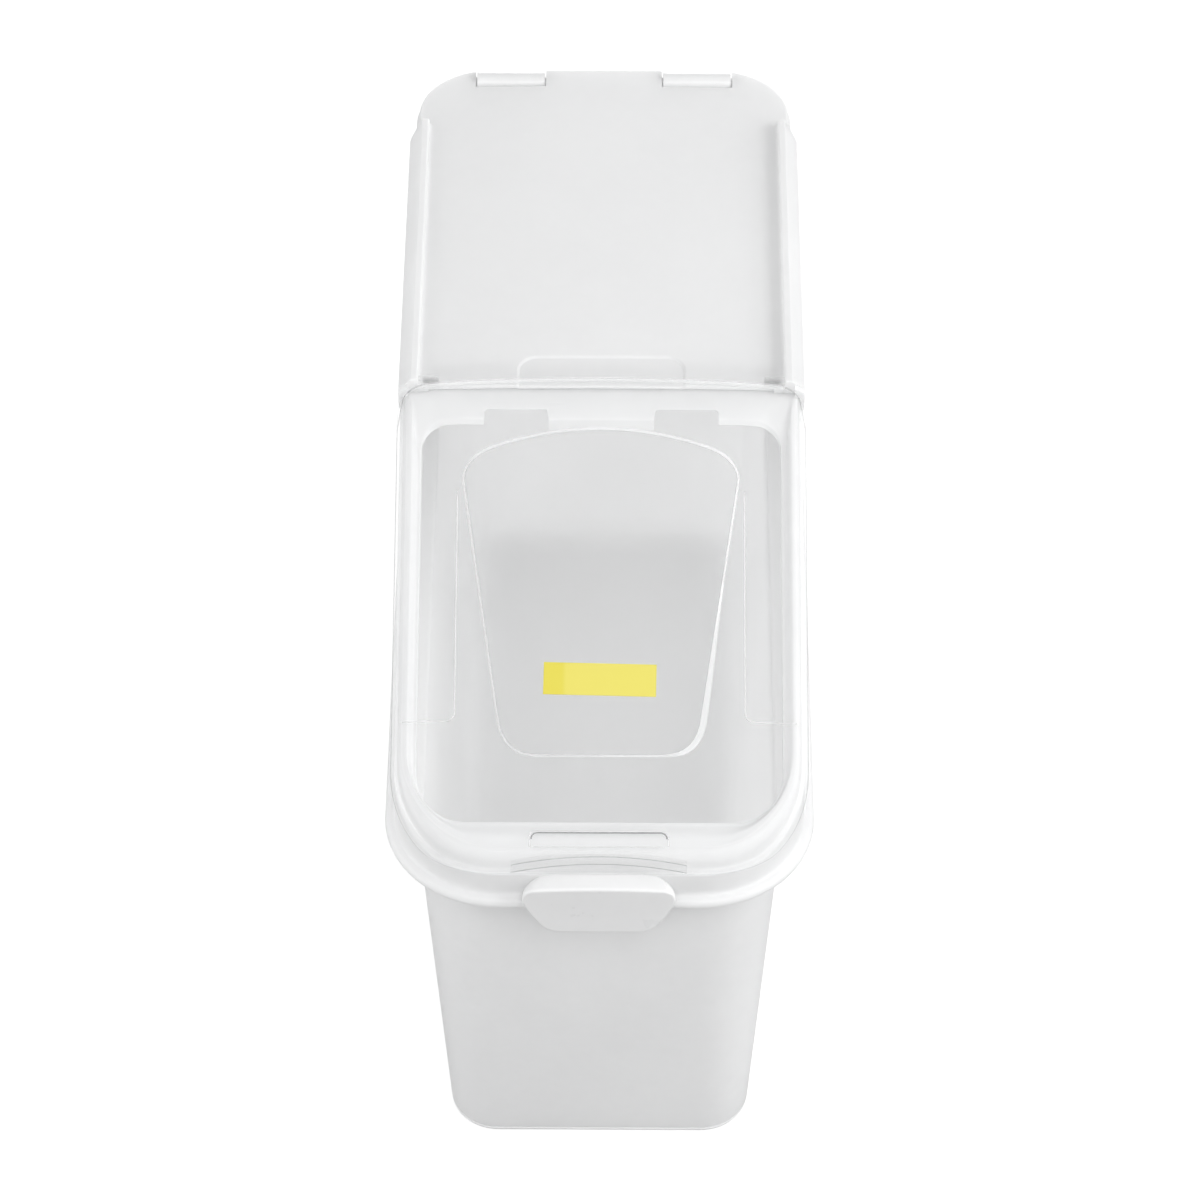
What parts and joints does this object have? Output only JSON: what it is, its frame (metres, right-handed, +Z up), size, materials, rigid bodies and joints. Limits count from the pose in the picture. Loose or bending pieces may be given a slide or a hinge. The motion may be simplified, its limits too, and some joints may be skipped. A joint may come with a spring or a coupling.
{
  "type": "rice bin with flip lid",
  "caption": "Tapered white plastic bin for rice and dry ingredients, with a hinged rear cover and a clear sloping flip lid.",
  "frame": {"origin": "middle of the bounding box, on the ground under the bin", "axes": "+X towards the bin's right side seen from the front, +Y from the front grip to the back hinge, +Z up"},
  "size_m": [0.2186, 0.4948, 0.3502],
  "materials": {
    "tub_plastic": "moulded white polypropylene with a fine satin grain",
    "clip_plastic": "moulded opaque white plastic, satin",
    "cover_plastic": "moulded white polypropylene, thin enough to pass a little light",
    "pin_plastic": "smooth white plastic",
    "clear_plastic": "clear moulded polycarbonate, polished",
    "label_film": "bare yellow adhesive label with no print"
  },
  "bodies": {
    "bin": {"bin_tub": "tub_plastic", "front_grip": "tub_plastic", "hinge_clip_left": "clip_plastic", "hinge_clip_right": "clip_plastic"},
    "cover": {"rear_cover": "cover_plastic", "lid_pin_left": "pin_plastic", "lid_pin_right": "pin_plastic"},
    "lid": {"flip_lid": "clear_plastic", "lid_label": "label_film"}
  },
  "joints": [
    {"name": "cover_hinge", "type": "hinge", "parent": "bin", "child": "cover", "pos_m": [0, 0.2398, 0.3412], "axis": [-1, 0, 0], "range_deg": [0, 95]},
    {"name": "lid_flip", "type": "hinge", "parent": "cover", "child": "lid", "pos_m": [0, -0.0029, 0.3475], "axis": [-1, 0, 0], "range_deg": [0, 130]}
  ]
}
